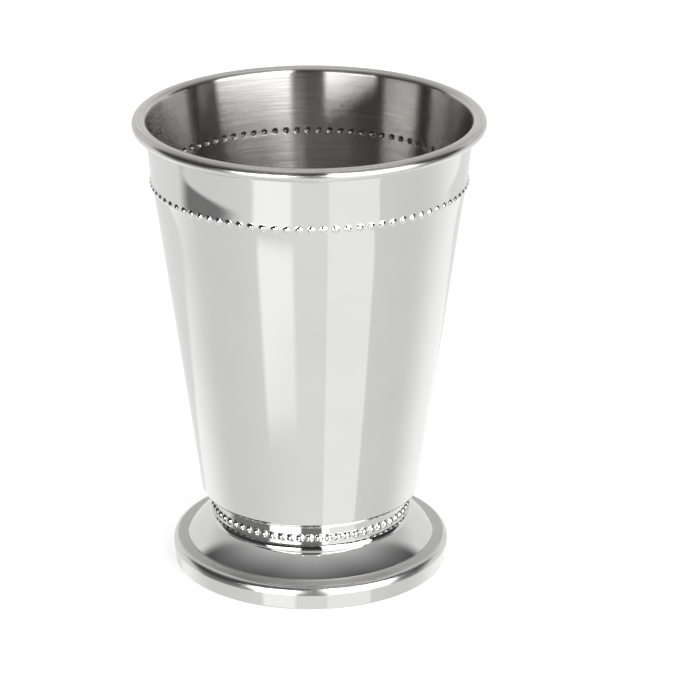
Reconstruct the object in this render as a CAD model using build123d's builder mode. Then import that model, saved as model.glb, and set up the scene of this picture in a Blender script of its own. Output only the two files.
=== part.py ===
# A footed julep cup in polished steel: a tapered body with a rolled rim, on a beaded collar and a domed foot.
# Millimetres, +Z up. The origin is the centre of the circle that the foot stands on.
from build123d import *
from math import acos, asin, atan2, cos, degrees, hypot, radians, sin, tan
import os

# Overall
cup_height = 120.0  # from the table to the crest of the rim
rim_diameter = 89.0  # over the rolled rim
foot_diameter = 71.7  # over the foot's edge

# Body
body_sheet = 0.8
body_base_diameter = 56.0  # the tapered wall's outside, where it would meet the floor
body_corner_radius = 1.6  # outside of the bend from wall to floor
rim_roll_height = 3.0  # over the rolled edge
rim_roll_flat = 0.7  # width of the flat on its crest
rim_roll_gap = 0.3  # left between the end of the roll and the wall

# Row of beads pressed out of the body below the rim
rim_bead_count = 84
rim_bead_drop = 16.4  # from the crest of the rim to the middle of the row
rim_bead_diameter = 1.9  # across the bead where it leaves the wall
rim_bead_height = 0.5
rim_dimple_diameter = 1.5  # the punch's mark on the inside
rim_dimple_depth = 0.5

# Collar
collar_height = 7.1
collar_wall = 1.2
collar_inset = 2.5  # the plain band stands in from the body's base by this much
collar_clearance = 0.1  # around the foot's neck
collar_bead_count = 66
collar_bead_diameter = 2.5
collar_bead_sink = 0.6  # the beads' centres lie this far under the band's face
collar_bead_drop = 3.7  # from the top of the collar to the middle of the row
collar_moulding_height = 1.35
collar_moulding_proud = 0.85  # at the bottom
collar_moulding_lean = 0.35  # its top stands in by this much
collar_moulding_swell = 0.12
collar_groove_height = 0.15  # from the moulding's top to the plain band
collar_ridge_diameter = 0.5
collar_ridge_sink = 0.05
collar_ridge_drop = 0.75  # from the top of the collar to the fine ridge
collar_top_chamfer = 0.3

# Foot
foot_sheet = 0.8
foot_shoulder_height = 12.0  # the collar's seat
foot_dome_slope = 51.0  # degrees, at the dome's lower end
foot_crease_diameter = 64.8  # where the dome meets the flat ledge
foot_crease_radius = 0.8
foot_corner_radius = 1.3  # of the bend from the ledge to the edge's face
foot_face_radius = 3.8  # of the edge's face, which is nearly upright
foot_face_slope = 70.0  # degrees, where the face takes over from the bend
foot_band_height = 4.2  # the widest circle
foot_band_lean = 4.3  # degrees, by which the band below it leans in
foot_hem_width = 2.0  # turned in under the base disc
foot_hem_radius = 0.5
neck_flange_width = 5.5  # turned in under the body's floor
neck_corner_radius = 1.2

# Joints between the pieces
braze_thickness = 0.2
base_disc_thickness = 0.8
base_disc_clearance = 0.1

# Levels and radii that follow from the sizes above
floor_level = foot_shoulder_height + collar_height
flange_level = floor_level - braze_thickness
rim_radius = rim_diameter / 2
foot_radius = foot_diameter / 2
body_base_radius = body_base_diameter / 2
collar_radius = body_base_radius - collar_inset
shoulder_radius = collar_radius + collar_moulding_proud
collar_bore_radius = collar_radius - collar_wall
neck_radius = collar_bore_radius - collar_clearance
neck_bore_radius = neck_radius - foot_sheet
flange_bore_radius = neck_radius - foot_sheet - neck_flange_width

# The wall's outside is tangent to the inside of the roll's first bend, which sets the taper
roll_radius = rim_roll_height / 2
roll_inside = roll_radius - body_sheet
curl_centre = (rim_radius - roll_radius, cup_height - roll_radius)
roll_centre = (curl_centre[0] - rim_roll_flat, curl_centre[1])
roll_run = roll_centre[0] - body_base_radius
roll_rise = roll_centre[1] - floor_level
wall_angle = atan2(roll_run, roll_rise) - asin(roll_inside / hypot(roll_run, roll_rise))
wall_top = (
    roll_centre[0] - roll_inside * cos(wall_angle),
    roll_centre[1] + roll_inside * sin(wall_angle),
)
inside_top = (
    roll_centre[0] - roll_radius * cos(wall_angle),
    roll_centre[1] + roll_radius * sin(wall_angle),
)
inside_corner = (
    body_base_radius + body_sheet * (sin(wall_angle) - 1) / cos(wall_angle),
    floor_level + body_sheet,
)
roll_start = 180 - degrees(wall_angle)
bend_turn = roll_start - 90
curl_reach = roll_inside + rim_roll_flat * cos(wall_angle) - rim_roll_gap
curl_turn = 360 - bend_turn - degrees(acos(curl_reach / roll_radius))


def cap_radius(width, height):
    # Radius of the ball whose cap has this width and height
    return ((width / 2) ** 2 + height**2) / (2 * height)


def wall_point(level, depth):
    # Radius and height of the point that lies this deep under the wall's outside at this level
    radius = body_base_radius + (level - floor_level) * tan(wall_angle)
    return radius - depth * cos(wall_angle), level + depth * sin(wall_angle)


# The body's beads are balls sunk in the wall, and the dimples behind them are smaller balls
rim_bead_level = cup_height - rim_bead_drop
rim_bead_ball = cap_radius(rim_bead_diameter, rim_bead_height)
rim_bead_radius, rim_bead_centre = wall_point(rim_bead_level, rim_bead_ball - rim_bead_height)
rim_dimple_ball = cap_radius(rim_dimple_diameter, rim_dimple_depth)
rim_dimple_reach = body_sheet - rim_dimple_depth + rim_dimple_ball
rim_dimple_radius, rim_dimple_centre = wall_point(rim_bead_level, rim_dimple_reach)
rim_bead_start = 90 / rim_bead_count  # a quarter of the pitch

# Body: floor, wall and rolled rim are one sheet. The filled shape takes the beads before it is hollowed out,
# and the dimples that the punch leaves inside come last.
with BuildPart() as cup_body:
    with BuildSketch(Plane.XZ):
        with BuildLine():
            FilletPolyline(
                (0, floor_level),
                (body_base_radius, floor_level),
                wall_top,
                radius=body_corner_radius,
            )
            under_bend = CenterArc(roll_centre, roll_inside, roll_start, -bend_turn)
            under_curl = CenterArc(curl_centre, roll_inside, 90, -curl_turn)
            over_bend = CenterArc(roll_centre, roll_radius, roll_start, -bend_turn)
            over_curl = CenterArc(curl_centre, roll_radius, 90, -curl_turn)
            Line(under_bend @ 1, under_curl @ 0)
            Line(over_bend @ 1, over_curl @ 0)
            Line(under_curl @ 1, over_curl @ 1)
            Polyline(inside_top, (0, inside_top[1]), (0, floor_level))
        make_face()
    revolve(axis=Axis.Z)
    with Locations((0, 0, rim_bead_centre)):
        with PolarLocations(rim_bead_radius, rim_bead_count, start_angle=rim_bead_start):
            Sphere(rim_bead_ball)
    with BuildSketch(Plane.XZ):
        with BuildLine():
            FilletPolyline(
                (0, floor_level + body_sheet),
                inside_corner,
                inside_top,
                radius=body_corner_radius - body_sheet,
            )
            Polyline(inside_top, (0, inside_top[1]), (0, floor_level + body_sheet))
        make_face()
    revolve(axis=Axis.Z, mode=Mode.SUBTRACT)
    with Locations((0, 0, rim_dimple_centre)):
        with PolarLocations(rim_dimple_radius, rim_bead_count, start_angle=rim_bead_start):
            Sphere(rim_dimple_ball, mode=Mode.SUBTRACT)

# Collar: a ring slid over the foot's neck, with a fine ridge, a row of beads and a rounded moulding
collar_bead_level = floor_level - collar_bead_drop
collar_bead_radius = collar_radius - collar_bead_sink
collar_bead_start = 180 / collar_bead_count  # half of the pitch
moulding_top = foot_shoulder_height + collar_moulding_height
with BuildPart() as beaded_collar:
    with BuildSketch(Plane.XZ):
        with BuildLine():
            Line((0, foot_shoulder_height), (shoulder_radius, foot_shoulder_height))
            SagittaArc(
                (shoulder_radius, foot_shoulder_height),
                (shoulder_radius - collar_moulding_lean, moulding_top),
                -collar_moulding_swell,
            )
            Polyline(
                (shoulder_radius - collar_moulding_lean, moulding_top),
                (collar_radius, moulding_top + collar_groove_height),
                (collar_radius, floor_level - collar_top_chamfer),
                (collar_radius - collar_top_chamfer, floor_level),
                (0, floor_level),
                (0, foot_shoulder_height),
            )
        make_face()
        with Locations((collar_radius - collar_ridge_sink, floor_level - collar_ridge_drop)):
            Circle(collar_ridge_diameter / 2)
    revolve(axis=Axis.Z)
    with Locations((0, 0, collar_bead_level)):
        with PolarLocations(collar_bead_radius, collar_bead_count, start_angle=collar_bead_start):
            Sphere(collar_bead_diameter / 2)
    with Locations((0, 0, foot_shoulder_height)):
        Cylinder(
            collar_bore_radius,
            collar_height,
            align=(Align.CENTER, Align.CENTER, Align.MIN),
            mode=Mode.SUBTRACT,
        )

# The foot's edge, from the band's foot up to the ledge: leaning band, face, bend and flat ledge
band_lean = radians(foot_band_lean)
face_start = 90 - foot_face_slope
face_centre = (foot_radius - foot_face_radius, foot_band_height)
face_end = (
    face_centre[0] + foot_face_radius * cos(band_lean),
    face_centre[1] - foot_face_radius * sin(band_lean),
)
band_foot_radius = face_end[0] - face_end[1] * tan(band_lean)
band_bore_radius = band_foot_radius + foot_sheet * tan(band_lean) - foot_sheet / cos(band_lean)
corner_centre = (
    face_centre[0] + (foot_face_radius - foot_corner_radius) * cos(radians(face_start)),
    face_centre[1] + (foot_face_radius - foot_corner_radius) * sin(radians(face_start)),
)
ledge_level = corner_centre[1] + foot_corner_radius

# The dome runs from the collar's seat to the crease, and its swell follows from the slope at its lower end
dome_slope = radians(foot_dome_slope)
crease_radius = foot_crease_diameter / 2
crease_reach = foot_crease_radius * tan(dome_slope / 2)
crease_centre = (crease_radius + crease_reach, ledge_level + foot_crease_radius)
dome_end = (
    crease_radius - crease_reach * cos(dome_slope),
    ledge_level + crease_reach * sin(dome_slope),
)
dome_run = dome_end[0] - shoulder_radius
dome_fall = foot_shoulder_height - dome_end[1]
dome_turn = dome_slope - atan2(dome_fall, dome_run)  # from the chord to the lower end
dome_swell = hypot(dome_run, dome_fall) / 2 * tan(dome_turn / 2)
hollow_shoulder = (
    shoulder_radius - foot_sheet * tan(dome_slope / 2 - dome_turn),
    foot_shoulder_height - foot_sheet,
)
hollow_crease = (crease_radius - foot_sheet * tan(dome_slope / 2), ledge_level - foot_sheet)

# Foot: one spun sheet from the flange under the body's floor down to the hem, hollow underneath
with BuildPart() as foot:
    with BuildSketch(Plane.XZ):
        with BuildLine():
            FilletPolyline(
                (0, flange_level),
                (neck_radius, flange_level),
                (neck_radius, foot_shoulder_height),
                radius=neck_corner_radius,
            )
            Line((neck_radius, foot_shoulder_height), (shoulder_radius, foot_shoulder_height))
            SagittaArc((shoulder_radius, foot_shoulder_height), dome_end, dome_swell)
            crease = CenterArc(crease_centre, foot_crease_radius, -90 - foot_dome_slope, foot_dome_slope)
            corner = CenterArc(corner_centre, foot_corner_radius, 90, -foot_face_slope)
            Line(crease @ 1, corner @ 0)
            CenterArc(face_centre, foot_face_radius, face_start, -face_start - foot_band_lean)
            FilletPolyline(face_end, (band_foot_radius, 0), (0, 0), radius=foot_hem_radius)
            Line((0, 0), (0, flange_level))
        make_face()
    revolve(axis=Axis.Z)
    with BuildSketch(Plane.XZ):
        with BuildLine():
            corner = CenterArc(corner_centre, foot_corner_radius - foot_sheet, 90, -foot_face_slope)
            face = CenterArc(
                face_centre,
                foot_face_radius - foot_sheet,
                face_start,
                -face_start - foot_band_lean,
            )
            Polyline(
                hollow_shoulder,
                (neck_bore_radius, foot_shoulder_height - foot_sheet),
                (neck_bore_radius, flange_level - foot_sheet),
                (flange_bore_radius, flange_level - foot_sheet),
                (flange_bore_radius, flange_level),
                (0, flange_level),
                (0, 0),
                (foot_radius - foot_hem_width, 0),
                (foot_radius - foot_hem_width, foot_sheet),
                (band_bore_radius, foot_sheet),
                face @ 1,
            )
            Line(corner @ 0, hollow_crease)
            SagittaArc(hollow_shoulder, hollow_crease, dome_swell)
        make_face()
    revolve(axis=Axis.Z, mode=Mode.SUBTRACT)

# Base disc: closes the foot from below and lies on the turned-in hem
with BuildPart() as base_disc:
    with Locations((0, 0, foot_sheet)):
        Cylinder(
            band_bore_radius - base_disc_clearance,
            base_disc_thickness,
            align=(Align.CENTER, Align.CENTER, Align.MIN),
        )

# Braze: the ring of filler metal that holds the foot's flange to the body's floor
with BuildPart() as braze_ring:
    with BuildSketch(Plane.XY.offset(flange_level)):
        Circle(neck_radius - neck_corner_radius)
        Circle(flange_bore_radius, mode=Mode.SUBTRACT)
    extrude(amount=braze_thickness)

os.makedirs("parts", exist_ok=True)
cup_body.part.label = "cup_body"
export_step(cup_body.part, "parts/cup_body.step")
beaded_collar.part.label = "beaded_collar"
export_step(beaded_collar.part, "parts/beaded_collar.step")
foot.part.label = "foot"
export_step(foot.part, "parts/foot.step")
base_disc.part.label = "base_disc"
export_step(base_disc.part, "parts/base_disc.step")
braze_ring.part.label = "braze_ring"
export_step(braze_ring.part, "parts/braze_ring.step")
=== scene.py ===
import bpy
import numpy as np
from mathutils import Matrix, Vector


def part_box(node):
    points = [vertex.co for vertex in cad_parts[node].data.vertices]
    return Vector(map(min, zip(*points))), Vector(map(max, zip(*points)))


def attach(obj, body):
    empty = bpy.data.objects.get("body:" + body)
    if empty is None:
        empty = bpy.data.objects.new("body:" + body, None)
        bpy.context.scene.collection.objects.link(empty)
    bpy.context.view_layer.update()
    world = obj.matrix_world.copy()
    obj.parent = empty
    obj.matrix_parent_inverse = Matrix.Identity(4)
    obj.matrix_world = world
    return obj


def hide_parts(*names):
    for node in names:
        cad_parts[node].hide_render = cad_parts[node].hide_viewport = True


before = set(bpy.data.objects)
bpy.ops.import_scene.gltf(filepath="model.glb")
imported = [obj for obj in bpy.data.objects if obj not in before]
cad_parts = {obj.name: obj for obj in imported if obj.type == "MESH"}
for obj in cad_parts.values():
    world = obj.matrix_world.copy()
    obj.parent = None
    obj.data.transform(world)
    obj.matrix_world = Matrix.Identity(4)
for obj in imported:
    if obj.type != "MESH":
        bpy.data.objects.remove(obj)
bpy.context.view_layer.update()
print("frame loaded:", ", ".join(sorted(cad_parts)))


# Profiles: points are (radius, height) in metres, and the metal lies to the left of the way they run

# part of a circle: centre plus radius times the cosine and sine of evenly spaced angles
def arcRun(centre, radius, startAngle, turn, count):
    angle = np.radians(startAngle + turn * np.linspace(0, 1, count))
    return np.asarray(centre) + radius * np.column_stack([np.cos(angle), np.sin(angle)])


# arc that swells to the left of its chord by rise
# its radius is (half chord squared + rise squared) / (2 rise)
def swellRun(start, end, rise, count):
    start, end = np.array(start), np.array(end)
    half = np.hypot(*(end - start)) / 2
    radius = (half**2 + rise**2) / (2 * rise)
    left = np.array([start[1] - end[1], end[0] - start[0]]) / (2 * half)
    centre = (start + end) / 2 + left * (rise - radius)
    startAngle = np.degrees(np.arctan2(*(start - centre)[::-1]))
    return arcRun(centre, radius, startAngle, -2 * np.degrees(np.arcsin(half / radius)), count)


samePlace = 1e-7  # points closer than this are one


# runs of points put end to end, without the point that two neighbours share
def joinRuns(*runs):
    points = np.vstack(runs)
    return points[np.r_[True, np.hypot(*np.diff(points, axis=0).T) > samePlace]]


# two more points in each long step, close to its ends, so that a flat face stays flat right up to a bend
def besideBends(points, inset):
    step = np.diff(points, axis=0)
    length = np.hypot(*step.T)
    isLong = length > 4 * inset
    share = (inset / length)[isLong, None]
    near = points[:-1][isLong] + step[isLong] * share
    far = points[1:][isLong] - step[isLong] * share
    where = np.repeat(np.flatnonzero(isLong) + 1, 2)
    return np.insert(points, where, np.stack([near, far], 1).reshape(-1, 2), axis=0)


# Grids: rows run along the profile and columns go round the axis, each entry is (radius, angle, height)

# every point of the profile carried round the axis, through the columns' angles
def turnProfile(profile, columns):
    grid = np.empty((len(profile), len(columns), 3))
    grid[..., 0] = profile[:, :1]
    grid[..., 1] = columns
    grid[..., 2] = profile[:, 1:]
    return grid


# angles of the columns for a row of beads: in each cell they are the tangents of evenly spaced rays
def beadColumns(count, firstAngle, halfSteps):
    centres = firstAngle + np.arange(count) * 2 * np.pi / count
    offsets = np.tan(np.pi / 4 * np.arange(-halfSteps, halfSteps) / halfSteps) * np.pi / count
    return (centres[:, None] + offsets).ravel()


# distance of each ring of a bead's cell from the bead's middle: even angles over the ball's cap out to its
# edge, then one ring just outside it, at the share rim of the way to the cell's border, then that border
def beadRings(edge, ball, halfCell, halfSteps, rim):
    capRings = ball * np.sin(np.linspace(0, np.arcsin(edge / ball), halfSteps - 1))
    return np.r_[capRings, edge + rim * (halfCell - edge), halfCell]


squareness = 0.3  # of the ring just outside a bead: 0 is a circle and 1 the cell's square


# A row of beads on a straight wall. In a cell, ring k is a circle about the bead's middle, and the last ring
# is the cell's square border. On a ring at distance d the ball stands sqrt(ball squared - d squared) - sink
# above the wall. along and out are the wall's unit directions, in radius and height.
def turnBeads(middle, along, out, count, firstAngle, rings, ball, sink):
    halfSteps = len(rings) - 1
    across, up = np.meshgrid(np.arange(-halfSteps, halfSteps), np.arange(-halfSteps, halfSteps + 1))
    ring = np.maximum(abs(across), abs(up))
    rayX = np.tan(np.pi / 4 * across / np.maximum(ring, 1))
    rayY = np.tan(np.pi / 4 * up / np.maximum(ring, 1))
    toSquare = np.r_[np.zeros(halfSteps - 1), squareness, 1][ring]
    reach = rings[ring] * (toSquare + (1 - toSquare) / np.maximum(np.hypot(rayX, rayY), 1e-9))
    height = np.maximum(np.sqrt(np.maximum(ball**2 - rings[ring] ** 2, 0)) - sink, 0)
    height[ring >= halfSteps - 1] = 0
    cell = np.stack(
        [
            middle[0] + reach * rayY * along[0] + height * out[0],
            reach * rayX * np.pi / count / rings[-1],
            middle[1] + reach * rayY * along[1] + height * out[1],
        ],
        -1,
    )
    centres = firstAngle + np.arange(count) * 2 * np.pi / count
    grid = np.repeat(cell[:, None], count, axis=1)
    grid[..., 1] += centres[:, None]
    return grid.reshape(2 * halfSteps + 1, -1, 3)


# which faces of a row's cells lie on the balls' caps
def onCaps(halfSteps, count):
    fromMiddle = abs(np.arange(-halfSteps, halfSteps) + 0.5)
    return np.tile(np.maximum.outer(fromMiddle, fromMiddle) < halfSteps - 2, count)


# mesh of a grid: x and y are the radius times the angle's cosine and sine. Columns close round the axis.
# The rows either close too, as a ring's section does, or end on the axis at the two poles' heights.
# finish is the material's number for each row, or for each row and column.
def latheMesh(name, grid, poles, materials, finish):
    rows, columns = grid.shape[:2]
    radius, angle, height = grid.reshape(-1, 3).T
    points = np.column_stack([radius * np.cos(angle), radius * np.sin(angle), height])
    index = np.arange(rows * columns).reshape(rows, columns)
    upper = np.roll(index, -1, axis=0) if poles is None else index[1:]
    lower = index[: len(upper)]
    quads = np.stack([lower, np.roll(lower, -1, 1), np.roll(upper, -1, 1), upper], -1).reshape(-1, 4)
    corners, sizes = quads.ravel(), np.full(len(quads), 4)
    finish = np.broadcast_to(finish.reshape(rows, -1), (rows, columns))
    faceFinish = finish[: len(upper)].ravel()
    if poles is not None:
        first, last = rows * columns + np.arange(2)
        points = np.vstack([points, [[0, 0, poles[0]], [0, 0, poles[1]]]])
        fanA = np.stack([np.full(columns, first), np.roll(index[0], -1), index[0]], -1)
        fanB = np.stack([np.full(columns, last), index[-1], np.roll(index[-1], -1)], -1)
        corners = np.r_[corners, fanA.ravel(), fanB.ravel()]
        sizes = np.r_[sizes, np.full(2 * columns, 3)]
        faceFinish = np.r_[faceFinish, finish[0], finish[-1]]
    mesh = bpy.data.meshes.new(name)
    mesh.vertices.add(len(points))
    mesh.vertices.foreach_set("co", points.ravel())
    mesh.loops.add(len(corners))
    mesh.loops.foreach_set("vertex_index", corners.astype(np.int32))
    mesh.polygons.add(len(sizes))
    mesh.polygons.foreach_set("loop_start", (np.cumsum(sizes) - sizes).astype(np.int32))
    mesh.polygons.foreach_set("material_index", faceFinish.astype(np.int32))
    mesh.polygons.foreach_set("use_smooth", np.ones(len(sizes), bool))
    mesh.update(calc_edges=True)
    mesh.validate()
    for material in materials:
        mesh.materials.append(material)
    piece = bpy.data.objects.new(name, mesh)
    bpy.context.scene.collection.objects.link(piece)
    return piece


# stands a finished piece in for its node
def seatPiece(piece, node):
    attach(piece, "root")
    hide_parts(node)
    print(piece.name, "made:", len(piece.data.polygons), "faces")


# Finishes

# a new node with its input values and settings
def addNode(tree, kind, inputs=None, **settings):
    made = tree.nodes.new(kind)
    for key, value in settings.items():
        setattr(made, key, value)
    for key, value in (inputs or {}).items():
        made.inputs[key].default_value = value
    return made


# a metal material, its node tree and its shader
def newMetal(name):
    material = bpy.data.materials.new(name)
    material.use_nodes = True
    tree = material.node_tree
    shader = tree.nodes["Principled BSDF"]
    shader.inputs["Metallic"].default_value = 1
    return material, tree, shader


# fine lines round the axis: noise on (x, y, height + radius), squeezed along the last to run in rings
def ringNoise(tree, across, along, detail):
    place = addNode(tree, "ShaderNodeTexCoord")
    split = addNode(tree, "ShaderNodeSeparateXYZ")
    flat = addNode(tree, "ShaderNodeVectorMath", {1: (1, 1, 0)}, operation="MULTIPLY")
    size = addNode(tree, "ShaderNodeVectorMath", operation="LENGTH")
    ring = addNode(tree, "ShaderNodeMath", operation="ADD")
    join = addNode(tree, "ShaderNodeCombineXYZ")
    scale = addNode(tree, "ShaderNodeVectorMath", {1: (along, along, across)}, operation="MULTIPLY")
    noise = addNode(tree, "ShaderNodeTexNoise", {"Scale": 1, "Detail": detail, "Roughness": 0.6})
    link = tree.links.new
    link(place.outputs["Object"], split.inputs[0])
    link(place.outputs["Object"], flat.inputs[0])
    link(flat.outputs[0], size.inputs[0])
    link(split.outputs["Z"], ring.inputs[0])
    link(size.outputs["Value"], ring.inputs[1])
    link(split.outputs["X"], join.inputs["X"])
    link(split.outputs["Y"], join.inputs["Y"])
    link(ring.outputs[0], join.inputs["Z"])
    link(join.outputs[0], scale.inputs[0])
    link(scale.outputs[0], noise.inputs["Vector"])
    return noise.outputs["Fac"]


# cloudy noise on the piece's own coordinates
def cloudNoise(tree, scale, detail):
    place = addNode(tree, "ShaderNodeTexCoord")
    noise = addNode(tree, "ShaderNodeTexNoise", {"Scale": scale, "Detail": detail})
    tree.links.new(place.outputs["Object"], noise.inputs["Vector"])
    return noise.outputs["Fac"]


noiseLow, noiseHigh = 0.3, 0.7  # nearly all of a noise lies between these


# noise spread over a range of values and led into a socket
def spread(tree, noise, low, high, socket):
    spreadNode = addNode(
        tree,
        "ShaderNodeMapRange",
        {"From Min": noiseLow, "From Max": noiseHigh, "To Min": low, "To Max": high},
    )
    tree.links.new(noise, spreadNode.inputs["Value"])
    tree.links.new(spreadNode.outputs["Result"], socket)


# noise turned into a colour between two and led into a socket
def tint(tree, noise, dark, light, socket):
    ramp = addNode(tree, "ShaderNodeValToRGB")
    ramp.color_ramp.elements[0].position = noiseLow
    ramp.color_ramp.elements[0].color = (*dark, 1)
    ramp.color_ramp.elements[1].position = noiseHigh
    ramp.color_ramp.elements[1].color = (*light, 1)
    tree.links.new(noise, ramp.inputs["Fac"])
    tree.links.new(ramp.outputs["Color"], socket)


# noise as a fine relief of the surface
def relief(tree, noise, depth, strength, shader):
    bump = addNode(tree, "ShaderNodeBump", {"Strength": strength, "Distance": depth})
    tree.links.new(noise, bump.inputs["Height"])
    tree.links.new(bump.outputs["Normal"], shader.inputs["Normal"])


# In each look, a scale says how many of a noise's features go into a metre. Lines have one scale across them
# and one along them. Depths are in metres.
mirrorLook = {
    "dark": (0.715, 0.712, 0.708),
    "light": (0.735, 0.732, 0.728),
    "smoothest": 0.02,
    "roughest": 0.035,
    "cloudScale": 70,
    "cloudDetail": 4,
    "lineScales": (5000, 90),
    "lineDepth": 2e-6,
    "lineStrength": 0.1,
}
buffedLook = {
    "dark": (0.70, 0.697, 0.692),
    "light": (0.73, 0.727, 0.722),
    "smoothest": 0.22,
    "roughest": 0.28,
    "cloudScale": 200,
    "cloudDetail": 3,
    "lineScales": (4000, 60),
    "lineDepth": 2e-6,
    "lineStrength": 0.1,
}
satinLook = {
    "dark": (0.58, 0.577, 0.572),
    "light": (0.63, 0.627, 0.622),
    "smoothest": 0.46,
    "roughest": 0.54,
    "cloudScale": 200,
    "cloudDetail": 3,
    "lineScales": (4000, 60),
    "lineDepth": 2e-6,
    "lineStrength": 0.1,
}


# left by a polishing wheel: faint wiped clouds and the last traces of its lines
def wheelPolish(name, look):
    material, tree, shader = newMetal(name)
    clouds = cloudNoise(tree, look["cloudScale"], look["cloudDetail"])
    lines = ringNoise(tree, *look["lineScales"], detail=3)
    tint(tree, clouds, look["dark"], look["light"], shader.inputs["Base Color"])
    spread(tree, clouds, look["smoothest"], look["roughest"], shader.inputs["Roughness"])
    relief(tree, lines, look["lineDepth"], look["lineStrength"], shader)
    return material


brushedLook = {
    "dark": (0.465, 0.451, 0.437),
    "light": (0.615, 0.60, 0.587),
    "smoothest": 0.16,
    "roughest": 0.26,
    "lineScales": (9000, 30),
    "hairlineScales": (3000, 70),
    "lineDepth": 1.5e-5,
    "lineStrength": 0.07,
    "stretch": 1.0,
    "stretchTurn": 0.25,  # across the brush's lines
}


# brushed inside: fine rings left by a turning brush, which draw reflections out up and down the wall
def ringBrushed(look):
    material, tree, shader = newMetal("ringBrushed")
    lines = ringNoise(tree, *look["lineScales"], detail=4)
    hairlines = ringNoise(tree, *look["hairlineScales"], detail=3)
    tint(tree, hairlines, look["dark"], look["light"], shader.inputs["Base Color"])
    spread(tree, lines, look["smoothest"], look["roughest"], shader.inputs["Roughness"])
    relief(tree, lines, look["lineDepth"], look["lineStrength"], shader)
    tangent = addNode(tree, "ShaderNodeTangent", direction_type="RADIAL", axis="Z")
    tree.links.new(tangent.outputs[0], shader.inputs["Tangent"])
    shader.inputs["Anisotropic"].default_value = look["stretch"]
    shader.inputs["Anisotropic Rotation"].default_value = look["stretchTurn"]
    return material


# dark base colours that paint the shade falling into the inside dimples
punchedShadeLook = {
    "dark": (0.22, 0.21, 0.20),
    "light": (0.36, 0.35, 0.34),
    "smoothest": 0.20,
    "roughest": 0.30,
    "cloudScale": 900,
}


# punch marks: a darker, rougher metal whose dark base colour is painted shade in the dimples' hollows
def punchedPaintedShade(look):
    material, tree, shader = newMetal("punchedPaintedShade")
    clouds = cloudNoise(tree, look["cloudScale"], detail=3)
    tint(tree, clouds, look["dark"], look["light"], shader.inputs["Base Color"])
    spread(tree, clouds, look["smoothest"], look["roughest"], shader.inputs["Roughness"])
    return material


spunLook = {
    "dark": (0.50, 0.49, 0.48),
    "light": (0.62, 0.61, 0.60),
    "smoothest": 0.28,
    "roughest": 0.45,
    "lineScales": (2500, 30),
    "lineDepth": 4e-5,
    "lineStrength": 0.3,
}


# spun underside: coarser rings, as a plate turned on a lathe shows
def ringSpun(look):
    material, tree, shader = newMetal("ringSpun")
    lines = ringNoise(tree, *look["lineScales"], detail=5)
    tint(tree, lines, look["dark"], look["light"], shader.inputs["Base Color"])
    spread(tree, lines, look["smoothest"], look["roughest"], shader.inputs["Roughness"])
    relief(tree, lines, look["lineDepth"], look["lineStrength"], shader)
    return material


brazeLook = {
    "dark": (0.46, 0.43, 0.37),
    "light": (0.62, 0.59, 0.52),
    "smoothest": 0.45,
    "roughest": 0.7,
    "lumpScale": 900,
    "lumpDepth": 1e-4,
    "lumpStrength": 0.4,
}


# filler metal as it set: dull and lumpy
def dullBraze(look):
    material, tree, shader = newMetal("dullBraze")
    lumps = cloudNoise(tree, look["lumpScale"], detail=5)
    tint(tree, lumps, look["dark"], look["light"], shader.inputs["Base Color"])
    spread(tree, lumps, look["smoothest"], look["roughest"], shader.inputs["Roughness"])
    relief(tree, lumps, look["lumpDepth"], look["lumpStrength"], shader)
    return material


polished = wheelPolish("mirrorPolish", mirrorLook)
buffed = wheelPolish("buffedPolish", buffedLook)
satin = wheelPolish("satinPolish", satinLook)
brushed = ringBrushed(brushedLook)
punchedShade = punchedPaintedShade(punchedShadeLook)
spun = ringSpun(spunLook)
braze = dullBraze(brazeLook)
print("finishes made")


# Cup body

cupBody = {
    "sheet": 0.0008,
    "baseRadius": 0.028,  # where the tapered wall would meet the floor
    "cornerRadius": 0.0016,
    "rollRadius": 0.0015,
    "rollFlat": 0.0007,  # width of the flat on the rim's crest
    "rollGap": 0.0003,  # from the end of the roll to the wall
    "beadCount": 84,
    "beadDrop": 0.0164,  # from the crest of the rim to the row
    "beadWidth": 0.0019,
    "beadHeight": 0.0005,
    "dimpleWidth": 0.0015,
    "dimpleDepth": 0.0005,
    "swellSlope": 0.0505,  # by which the wall leans in just above the row, where the punch has drawn it out
    "swellFlat": 0.003,  # above the row, the lean stays the same over this height
    "swellFade": 0.007,  # and is gone after this much more
    "swellBelow": 0.004,  # below the row, the swell shrinks to about a third over this height
    "halfSteps": 5,  # columns from a bead's middle to the border of its cell
    "beadRim": 0.3,  # the ring just outside a bead, as a share of the way to that border
    "dimpleRim": 0.2,
    "wallRows": 11,  # above the bead row and below it, where the wall swells
    "rowsAbove": 0.0125,  # height that they take up
    "rowsBelow": 0.012,
    "wallRing": 0.6,  # one more row, at this share of the way from the beads to the floor
    "floorRing": 0.4,  # the innermost ring of the floor, as a share of its radius
    "bendInset": 0.0003,  # a flat face has a row this close to its bends
    "polishEnd": 22,  # degrees up the roll at which the outside polish gives way to the brushed inside
}


# radius of the ball whose cap has this width and height
def capBall(width, height):
    return ((width / 2) ** 2 + height**2) / (2 * height)


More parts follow.
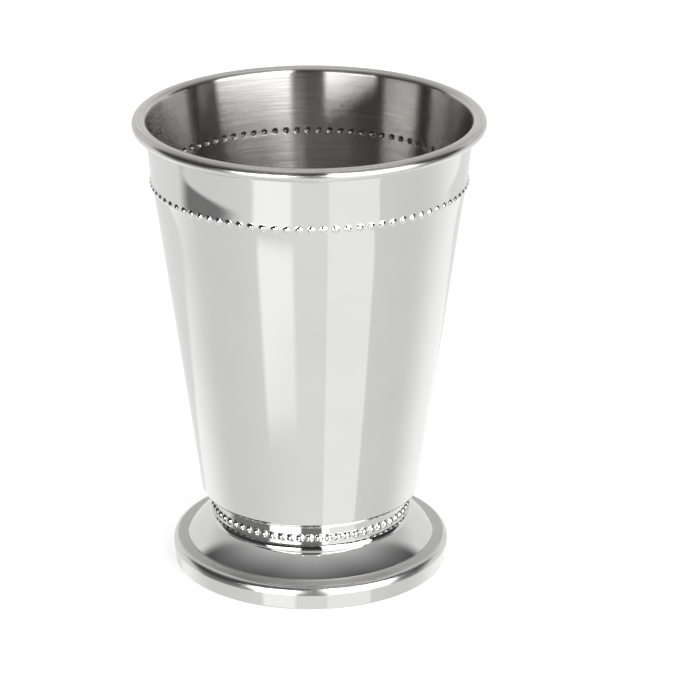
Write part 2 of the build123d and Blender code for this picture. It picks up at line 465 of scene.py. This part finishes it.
# floor, wall and rolled rim are one sheet: up the outside, round the roll and back, then down the inside
def makeCupBody(size):
    low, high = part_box("cup_body")
    floor, sheet, roll = low.z, size["sheet"], size["rollRadius"]
    rollInside = roll - sheet
    curlCentre = np.array([high.x - roll, high.z - roll])
    rollCentre = curlCentre - (size["rollFlat"], 0)
    run, rise = rollCentre - (size["baseRadius"], floor)
    taper = np.arctan2(run, rise) - np.arcsin(rollInside / np.hypot(run, rise))
    up = np.array([np.sin(taper), np.cos(taper)])  # along the wall
    out = np.array([np.cos(taper), -np.sin(taper)])  # square to it

    # bead row on the outside and its dimples on the inside
    beadLevel = high.z - size["beadDrop"]
    outsideRow = np.array([size["baseRadius"], floor]) + up * (beadLevel - floor) / up[1]
    insideRow = outsideRow - out * sheet
    count = size["beadCount"]
    halfCell = outsideRow[0] * np.pi / count
    firstAngle = np.pi / 2 / count
    ball = capBall(size["beadWidth"], size["beadHeight"])
    dimple = capBall(size["dimpleWidth"], size["dimpleDepth"])
    rings = beadRings(size["beadWidth"] / 2, ball, halfCell, size["halfSteps"], size["beadRim"])
    dimpleEdge = size["dimpleWidth"] / 2
    dimpleRings = beadRings(dimpleEdge, dimple, halfCell, size["halfSteps"], size["dimpleRim"])
    beads = turnBeads(outsideRow, up, out, count, firstAngle, rings, ball, ball - size["beadHeight"])
    dimples = turnBeads(
        insideRow, -up, out, count, firstAngle, dimpleRings, dimple, dimple - size["dimpleDepth"]
    )

    # bend from floor to wall, and how far the rim is rolled
    half = np.pi / 4 + taper / 2
    bend = size["cornerRadius"]
    bendCentre = np.array([size["baseRadius"] - bend / np.tan(half), floor + bend])
    bendTurn = 90 - np.degrees(taper)
    rollStart = 180 - np.degrees(taper)
    curlReach = rollInside + size["rollFlat"] * np.cos(taper) - size["rollGap"]
    curlTurn = 270 + np.degrees(taper) - np.degrees(np.arccos(curlReach / roll))
    innerRing = size["floorRing"] * bendCentre[0]
    toWallRing = up * size["wallRing"] * (beadLevel - floor)
    underside = joinRuns(
        [[innerRing, floor]],
        arcRun(bendCentre, bend, -90, bendTurn, 9),
        [outsideRow - toWallRing],
        outsideRow - up * np.linspace(size["rowsBelow"], halfCell, size["wallRows"])[:, None],
    )
    rim = joinRuns(
        outsideRow + up * np.linspace(halfCell, size["rowsAbove"], size["wallRows"])[:, None],
        arcRun(rollCentre, rollInside, rollStart, 90 - rollStart, 4),
        arcRun(curlCentre, rollInside, 90, -curlTurn, 9),
        arcRun(curlCentre, roll, 90 - curlTurn, curlTurn, 21),
        arcRun(rollCentre, roll, 90, rollStart - 90, 10),
        [insideRow + up * halfCell],
    )
    hollow = joinRuns(
        [insideRow - up * halfCell],
        [insideRow - toWallRing],
        arcRun(bendCentre, bend - sheet, -np.degrees(taper), -bendTurn, 6),
        [[innerRing, floor + sheet]],
    )
    rim = besideBends(rim, size["bendInset"])
    hollow = besideBends(hollow, size["bendInset"])
    columns = beadColumns(count, firstAngle, size["halfSteps"])
    grid = np.vstack(
        [
            turnProfile(underside[:-1], columns),
            beads,
            turnProfile(rim[1:-1], columns),
            dimples,
            turnProfile(hollow[1:], columns),
        ]
    )

    # The outside swells along the row. Above it, the swell is the slope summed up from where a smooth step
    # has faded it out. Below it, the swell at the row is multiplied by exp(-distance from the row / width).
    outsideRows = len(underside) - 1 + len(beads) + size["wallRows"] - 2
    wall = grid[:outsideRows]
    distance = (wall[..., 2] - beadLevel) / up[1]
    above, flat, fade = np.maximum(distance, 0), size["swellFlat"], size["swellFade"]
    faded = np.clip((above - flat) / fade, 0, 1)
    fadeSum = fade * (0.5 - faded + faded**3 - faded**4 / 2)
    swell = size["swellSlope"] * (np.maximum(flat - above, 0) + fadeSum)
    swell *= np.exp(np.minimum(distance, 0) / size["swellBelow"])
    wall[..., 0] += swell * out[0]
    wall[..., 2] += swell * out[1]

    # The wall and its beads are polished, and the roll is buffed. From the polish's end on the roll inwards,
    # the sheet is brushed, but the dimples get the dark finish that paints shade into them.
    endAngle = np.radians(size["polishEnd"])
    polishEnd = curlCentre + roll * np.array([np.cos(endAngle), np.sin(endAngle)])
    endRow = len(underside) - 1 + len(beads) + np.argmin(np.hypot(*(rim[1:-1] - polishEnd).T))
    finish = np.zeros(grid.shape[:2])
    finish[outsideRows:] = 1
    finish[endRow:] = 2
    steps = size["halfSteps"]
    firstDimple = len(grid) - len(dimples) - len(hollow) + 1
    finish[firstDimple : firstDimple + 2 * steps][onCaps(steps, count)] = 3
    finishes = [polished, buffed, brushed, punchedShade]
    return latheMesh("cupBody", grid, (floor, floor + sheet), finishes, finish)


seatPiece(makeCupBody(cupBody), "cup_body")


# Beaded collar

collar = {
    "wall": 0.0012,
    "bandRadius": 0.0255,
    "beadCount": 66,
    "beadDiameter": 0.0025,
    "beadSink": 0.0006,  # the beads' middles lie this far under the band's face
    "beadDrop": 0.0037,  # from the top of the collar to the row
    "mouldingHeight": 0.00135,
    "mouldingProud": 0.00085,
    "mouldingLean": 0.00035,  # its top stands in by this much
    "mouldingSwell": 0.00012,
    "grooveHeight": 0.00015,
    "ridgeDiameter": 0.0005,
    "ridgeSink": 0.00005,
    "ridgeDrop": 0.00075,  # from the top of the collar to the fine ridge
    "topChamfer": 0.0003,
    "halfSteps": 7,  # columns from a bead's middle to the border of its cell
    "beadRim": 0.4,  # the ring just outside a bead, as a share of the way to that border
    "bendInset": 0.00003,  # a flat face has a row this close to its bends
}


# a ring with an upright band: a rounded moulding at its foot, the beads, a fine ridge and a chamfered top
def makeCollar(size):
    low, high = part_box("beaded_collar")
    bottom, top, band = low.z, high.z, size["bandRadius"]
    bore = band - size["wall"]
    mouldingFoot = np.array([band + size["mouldingProud"], bottom])
    mouldingTop = mouldingFoot + (-size["mouldingLean"], size["mouldingHeight"])
    beadLevel = top - size["beadDrop"]
    count = size["beadCount"]
    halfCell = band * np.pi / count
    firstAngle = np.pi / count
    ball, sink = size["beadDiameter"] / 2, size["beadSink"]
    edge = np.sqrt(ball**2 - sink**2)
    rings = beadRings(edge, ball, halfCell, size["halfSteps"], size["beadRim"])
    beads = turnBeads((band, beadLevel), (0, 1), (1, 0), count, firstAngle, rings, ball, sink)
    ridge, ridgeSink = size["ridgeDiameter"] / 2, size["ridgeSink"]
    ridgeTurn = np.degrees(np.arccos(ridgeSink / ridge))
    lower = joinRuns(
        [[bore, bottom]],
        swellRun(mouldingTop, mouldingFoot, size["mouldingSwell"], 9)[::-1],
        [[band, mouldingTop[1] + size["grooveHeight"]]],
        [[band, beadLevel - halfCell]],
    )
    upper = joinRuns(
        [[band, beadLevel + halfCell]],
        arcRun((band - ridgeSink, top - size["ridgeDrop"]), ridge, -ridgeTurn, 2 * ridgeTurn, 9),
        [[band, top - size["topChamfer"]]],
        [[band - size["topChamfer"], top]],
        [[bore, top]],
        [[bore, bottom]],
    )
    lower = besideBends(lower, size["bendInset"])
    upper = besideBends(upper, size["bendInset"])
    columns = beadColumns(count, firstAngle, size["halfSteps"])
    grid = np.vstack([turnProfile(lower[:-1], columns), beads, turnProfile(upper[1:-1], columns)])
    return latheMesh("beadedCollar", grid, None, [polished], np.zeros(len(grid)))


seatPiece(makeCollar(collar), "beaded_collar")


# Foot

foot = {
    "sheet": 0.0008,
    "neckRadius": 0.0242,
    "neckCorner": 0.0012,
    "flangeWidth": 0.0055,
    "shoulderRadius": 0.02635,
    "shoulderHeight": 0.012,
    "domeSlope": 51,  # degrees, at the dome's lower end
    "creaseRadius": 0.0324,
    "creaseFillet": 0.0008,
    "cornerRadius": 0.0013,
    "faceRadius": 0.0038,
    "faceSlope": 70,  # degrees, where the face takes over from the bend
    "bandHeight": 0.0042,
    "bandLean": 4.3,  # degrees
    "hemWidth": 0.002,
    "hemRadius": 0.0005,
    "satinUp": 0.5,  # share of the crease's fillet, on the dome's side of the crease, that is satin
    "satinDown": 0.03,  # share of the corner's radius, below the ledge, at which the satin ends
    "bendInset": 0.00006,  # a flat face has a row this close to its bends
    "columns": 440,
}


# one spun sheet: out along its inside from flange to hem, then back over the leaning band, the rounded
# corner, the ledge, the dome, the shoulder and the neck
def makeFoot(size):
    low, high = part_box("foot")
    sheet, edge, top = size["sheet"], high.x, high.z
    neck, neckBend, hem = size["neckRadius"], size["neckCorner"], size["hemRadius"]
    flange = neck - sheet - size["flangeWidth"]
    shoulder = np.array([size["shoulderRadius"], size["shoulderHeight"]])
    lean, faceStart = np.radians(size["bandLean"]), 90 - size["faceSlope"]
    face, corner, fillet = size["faceRadius"], size["cornerRadius"], size["creaseFillet"]
    faceCentre = np.array([edge - face, low.z + size["bandHeight"]])
    cornerCentre = faceCentre + (face - corner) * np.array(
        [np.cos(np.radians(faceStart)), np.sin(np.radians(faceStart))]
    )
    ledge = cornerCentre[1] + corner
    bandFoot = faceCentre[0] + face / np.cos(lean) - (faceCentre[1] - low.z) * np.tan(lean)
    bandBore = bandFoot + sheet * np.tan(lean) - sheet / np.cos(lean)
    hemReach = hem * np.tan(np.pi / 4 - lean / 2)

    # the dome's swell follows from its slope at the crease
    slope = np.radians(size["domeSlope"])
    reach = fillet * np.tan(slope / 2)
    crease = np.array([size["creaseRadius"], ledge])
    domeEnd = crease + reach * np.array([-np.cos(slope), np.sin(slope)])
    run, fall = domeEnd[0] - shoulder[0], shoulder[1] - domeEnd[1]
    turn = slope - np.arctan2(fall, run)
    rise = np.hypot(run, fall) / 2 * np.tan(turn / 2)
    hollowShoulder = shoulder - (sheet * np.tan(slope / 2 - turn), sheet)
    hollowCrease = crease - (sheet * np.tan(slope / 2), sheet)
    profile = joinRuns(
        [[flange, top - sheet]],
        [[neck - sheet, top - sheet]],
        [[neck - sheet, shoulder[1] - sheet]],
        swellRun(hollowShoulder, hollowCrease, rise, 9),
        arcRun(cornerCentre, corner - sheet, 90, -size["faceSlope"], 7),
        arcRun(faceCentre, face - sheet, faceStart, -faceStart - size["bandLean"], 5),
        [[bandBore, low.z + sheet]],
        [[edge - size["hemWidth"], low.z + sheet]],
        [[edge - size["hemWidth"], low.z]],
        arcRun((bandFoot - hemReach, low.z + hem), hem, -90, 90 - size["bandLean"], 7),
        arcRun(faceCentre, face, -size["bandLean"], faceStart + size["bandLean"], 9),
        arcRun(cornerCentre, corner, faceStart, size["faceSlope"], 17),
        arcRun(crease + (reach, fillet), fillet, -90, -size["domeSlope"], 9),
        swellRun(shoulder, domeEnd, rise, 25)[::-1],
        [[neck, shoulder[1]]],
        arcRun((neck - neckBend, top - neckBend), neckBend, 0, 90, 6),
        [[flange, top]],
        [[flange, top - sheet]],
    )
    profile = besideBends(profile, size["bendInset"])[:-1]
    columns = np.arange(size["columns"]) * 2 * np.pi / size["columns"]

    # a wheel can't reach into the crease, so it and the ledge are satin
    # the corner over the band is buffed
    radius, height = profile.T
    outside = np.arange(len(profile)) >= np.argmax(radius)
    pastDome = radius > crease[0] - size["satinUp"] * fillet
    inCrease = pastDome & (height > ledge - size["satinDown"] * corner)
    onCorner = (radius > cornerCentre[0]) & (height >= faceCentre[1])
    finish = np.where(inCrease, 1, 2 * onCorner) * outside
    finishes = [polished, satin, buffed]
    return latheMesh("spunFoot", turnProfile(profile, columns), None, finishes, finish)


seatPiece(makeFoot(foot), "foot")


# Base disc

baseDisc = {
    "edgeRadius": 0.00015,
    "columns": 360,
    "rings": 8,
    "ringSpan": (0.1, 0.97),  # the innermost and outermost ring, as shares of its radius
}


# a flat plate with its edge just broken: out along the underside, up the edge and back along the top
def makeBaseDisc(size):
    low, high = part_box("base_disc")
    broken = size["edgeRadius"]
    spokes = np.linspace(*size["ringSpan"], size["rings"]) * high.x
    profile = joinRuns(
        np.column_stack([spokes, np.full(len(spokes), low.z)]),
        arcRun((high.x - broken, low.z + broken), broken, -90, 90, 5),
        arcRun((high.x - broken, high.z - broken), broken, 0, 90, 5),
        np.column_stack([spokes[::-1], np.full(len(spokes), high.z)]),
    )
    columns = np.arange(size["columns"]) * 2 * np.pi / size["columns"]
    grid = turnProfile(profile, columns)
    return latheMesh("baseDisc", grid, (low.z, high.z), [spun], np.zeros(len(grid)))


seatPiece(makeBaseDisc(baseDisc), "base_disc")

# the brazed joint is hidden between foot and body, so its node stays as it is
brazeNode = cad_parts["braze_ring"]
brazeNode.data.materials.clear()
brazeNode.data.materials.append(braze)
print("braze_ring finished")


# Stage, light and camera

stage = {
    "floorSize": 6.0,
    "floorGlow": 0.60,
    "floorColour": (0.82, 0.82, 0.82),
    "floorRoughness": 0.9,
    "floorGloss": 0.1,
}


# a flat square: its corners are (1, 1), (1, -1) and so on times half its size
def makeFloor(size):
    reach = size["floorSize"] / 2
    mesh = bpy.data.meshes.new("floor")
    corners = np.array([[-1, -1, 0], [1, -1, 0], [1, 1, 0], [-1, 1, 0]]) * reach
    mesh.from_pydata(corners.tolist(), [], [[0, 1, 2, 3]])
    material = bpy.data.materials.new("paleFloor")
    material.use_nodes = True
    shader = material.node_tree.nodes["Principled BSDF"]
    shader.inputs["Base Color"].default_value = (*size["floorColour"], 1)
    shader.inputs["Roughness"].default_value = size["floorRoughness"]
    shader.inputs["Specular IOR Level"].default_value = size["floorGloss"]
    shader.inputs["Emission Color"].default_value = (1, 1, 1, 1)
    shader.inputs["Emission Strength"].default_value = size["floorGlow"]
    mesh.materials.append(material)
    floor = bpy.data.objects.new("floor", mesh)
    bpy.context.scene.collection.objects.link(floor)
    floor.visible_glossy = False  # the metal mirrors the studio's table instead


makeFloor(stage)

# brightnesses, each with the degrees between which it fades in or out: aside is measured from the camera's
# side to the left and right alike, and up from the horizon
surround = {
    "table": 1.0,  # the pale table below
    "tableFront": 0.16,  # added towards the camera
    "tableFrontAside": (5, 85),
    "tableSides": 0.40,  # added far out to the left and right
    "tableSidesAside": (90, 140),
    "tableEdge": -27.7,  # elevation in degrees at which the table ends and the room begins
    "tableEdgeSoft": 0.5,  # degrees
    "tableClimb": 4.2,  # degrees by which the table's edge climbs on the right
    "tableClimbRight": (5, 30),
    "room": 0.05,
    "roomLow": 0.22,  # added just above the table
    "roomLowUp": (-22, 4),
    "roomSides": 0.34,  # added to the left and right
    "roomSidesAside": (40, 115),
    "roomSidesUp": (10, 60),
    "overhead": 0.76,  # added overhead
    "overheadUp": (36, 95),
    "overheadBack": 0.41,  # added high up behind
    "overheadBackAside": (104, 132),
    "overheadBackUp": (25, 50),
    "backdrop": 1.1,
    "backdropAside": (98, 112),
    "backdropUp": (18, 60),
    "backdropNarrows": 13,  # degrees on either side
    "backdropNarrowsUp": (-15, 15),
    "seen": 1.0,  # where the camera sees past the floor
}

# softboxes, each with a brighter upper part: brightness, soft edge in degrees, the azimuths and elevations
# between which it stands, and the slant of its top edge. Azimuth 0 is the camera's side, and it grows to the
# right.
softboxes = {
    "left": (2.4, 2.0, (-48, -11), (-60, 7.5), 0.18),
    "leftTop": (10.5, 2.0, (-48, -11), (-2, 7.5), 0.18),
    "right": (2.4, 2.0, (14, 70), (-60, 33), -0.45),
    "rightTop": (6.0, 2.0, (14, 70), (-2, 33), -0.45),
}

# the light that they throw on the table, in the same way
glows = {
    "leftGlow": (1.5, 2.5, (-42, -13), (-38, 0), 0),
    "rightGlow": (1.34, 1.0, (15, 54), (-80, 0), 0),
}


# a value that goes smoothly from one level to another as an input runs between two bounds
def smoothStep(tree, value, bounds, levels=(0, 1)):
    step = addNode(
        tree,
        "ShaderNodeMapRange",
        {"From Min": bounds[0], "From Max": bounds[1], "To Min": levels[0], "To Max": levels[1]},
        interpolation_type="SMOOTHSTEP",
    )
    tree.links.new(value, step.inputs["Value"])
    return step.outputs["Result"]


# one sum, product or other function of up to two values, which are sockets or numbers
def workOut(tree, operation, *values):
    made = addNode(tree, "ShaderNodeMath", operation=operation)
    for place, value in enumerate(values):
        if isinstance(value, (int, float)):
            made.inputs[place].default_value = value
        else:
            tree.links.new(value, made.inputs[place])
    return made.outputs[0]


# first where the share is 0, second where it is 1
def blendOver(tree, share, first, second):
    rest = workOut(tree, "SUBTRACT", 1, share)
    ofFirst = workOut(tree, "MULTIPLY", rest, first)
    ofSecond = workOut(tree, "MULTIPLY", share, second)
    return workOut(tree, "ADD", ofFirst, ofSecond)


# 1 between two bounds, fading out over the soft edge at both
def between(tree, value, bounds, soft):
    rising = smoothStep(tree, value, (bounds[0] - soft, bounds[0] + soft))
    falling = smoothStep(tree, value, (bounds[1] - soft, bounds[1] + soft), (1, 0))
    return workOut(tree, "MULTIPLY", rising, falling)


# a bright panel laid over a tone. Its top edge climbs by slant degrees for each degree of azimuth.
def putPanel(tree, tone, azimuth, elevation, brightness, soft, azimuths, elevations, slant):
    offset = workOut(tree, "SUBTRACT", azimuth, sum(azimuths) / 2)
    level = workOut(tree, "SUBTRACT", elevation, workOut(tree, "MULTIPLY", offset, float(slant)))
    bottom, top = elevations
    rising = smoothStep(tree, elevation, (bottom - soft, bottom + soft))
    falling = smoothStep(tree, level, (top - soft, top + soft), (1, 0))
    upright = workOut(tree, "MULTIPLY", rising, falling)
    share = workOut(tree, "MULTIPLY", between(tree, azimuth, azimuths, soft), upright)
    return blendOver(tree, share, tone, brightness)


# the studio that the metal mirrors, by azimuth and elevation: a pale table below, a dark room with two
# softboxes on the camera's side, a lighter ceiling and a white backdrop behind
def makeSurround(size):
    world = bpy.data.worlds.new("studio")
    bpy.context.scene.world = world
    world.use_nodes = True
    tree = world.node_tree
    tree.nodes.clear()
    link = tree.links.new
    place = addNode(tree, "ShaderNodeTexCoord")
    split = addNode(tree, "ShaderNodeSeparateXYZ")
    link(place.outputs["Generated"], split.inputs[0])
    towards = workOut(tree, "MULTIPLY", split.outputs["Y"], -1.0)
    azimuth = workOut(tree, "DEGREES", workOut(tree, "ARCTAN2", split.outputs["X"], towards))
    elevation = workOut(tree, "DEGREES", workOut(tree, "ARCSINE", split.outputs["Z"]))
    aside = workOut(tree, "ABSOLUTE", azimuth)

    brightFront = size["table"] + size["tableFront"]
    tableTone = smoothStep(tree, aside, size["tableFrontAside"], (brightFront, size["table"]))
    tableSides = smoothStep(tree, aside, size["tableSidesAside"], (0, size["tableSides"]))
    tableTone = workOut(tree, "ADD", tableTone, tableSides)
    for glow in glows.values():
        tableTone = putPanel(tree, tableTone, azimuth, elevation, *glow)

    lowTone = smoothStep(tree, elevation, size["roomLowUp"], (size["room"] + size["roomLow"], size["room"]))
    sideTone = smoothStep(tree, aside, size["roomSidesAside"], (0, size["roomSides"]))
    sideTone = workOut(tree, "MULTIPLY", sideTone, smoothStep(tree, elevation, size["roomSidesUp"]))
    highTone = smoothStep(tree, elevation, size["overheadUp"], (0, size["overhead"]))
    backTone = smoothStep(tree, aside, size["overheadBackAside"], (0, size["overheadBack"]))
    backTone = workOut(tree, "MULTIPLY", backTone, smoothStep(tree, elevation, size["overheadBackUp"]))
    highTone = workOut(tree, "ADD", highTone, backTone)
    roomTone = workOut(tree, "ADD", lowTone, workOut(tree, "ADD", sideTone, highTone))

    # the backdrop narrows upwards
    narrowing = smoothStep(tree, elevation, size["backdropNarrowsUp"], (0, size["backdropNarrows"]))
    drawnIn = workOut(tree, "SUBTRACT", aside, narrowing)
    upright = smoothStep(tree, elevation, size["backdropUp"], (1, 0))
    behind = workOut(tree, "MULTIPLY", smoothStep(tree, drawnIn, size["backdropAside"]), upright)
    roomTone = blendOver(tree, behind, roomTone, size["backdrop"])
    for softbox in softboxes.values():
        roomTone = putPanel(tree, roomTone, azimuth, elevation, *softbox)

    # the table's edge climbs on the right
    climb = smoothStep(tree, azimuth, size["tableClimbRight"], (0, size["tableClimb"]))
    aboveEdge = workOut(tree, "SUBTRACT", elevation, workOut(tree, "ADD", climb, size["tableEdge"]))
    isTable = smoothStep(tree, aboveEdge, (-size["tableEdgeSoft"], size["tableEdgeSoft"]), (1, 0))
    tone = blendOver(tree, isTable, roomTone, tableTone)

    mirrored = addNode(tree, "ShaderNodeBackground")
    seen = addNode(tree, "ShaderNodeBackground", {"Color": (1, 1, 1, 1), "Strength": size["seen"]})
    ray = addNode(tree, "ShaderNodeLightPath")
    mix = addNode(tree, "ShaderNodeMixShader")
    output = addNode(tree, "ShaderNodeOutputWorld")
    link(tone, mirrored.inputs["Strength"])
    link(ray.outputs["Is Camera Ray"], mix.inputs["Fac"])
    link(mirrored.outputs[0], mix.inputs[1])
    link(seen.outputs[0], mix.inputs[2])
    link(mix.outputs[0], output.inputs["Surface"])


makeSurround(surround)

view = {
    "target": (0.0077, 0, 0.0596),
    "distance": 0.8594,
    "elevation": 21.44,  # degrees
    "lens": 177.2,  # millimetres, as is the sensor
    "sensor": 36,
    "farthest": 20,  # how far the camera sees, in metres
}


# the camera stands on the circle about the target in the plane of y and z, at its elevation
def makeCamera(size):
    lens = bpy.data.cameras.new("camera")
    lens.sensor_width = size["sensor"]
    lens.lens = size["lens"]
    lens.clip_end = size["farthest"]
    camera = bpy.data.objects.new("camera", lens)
    tilt = np.radians(size["elevation"])
    towards = Vector((0, -np.cos(tilt), np.sin(tilt)))
    camera.location = Vector(size["target"]) + size["distance"] * towards
    camera.rotation_euler = (np.pi / 2 - tilt, 0, 0)
    bpy.context.scene.collection.objects.link(camera)
    bpy.context.scene.camera = camera


makeCamera(view)
bpy.context.scene.view_settings.view_transform = "Standard"
print("stage, light and camera set")
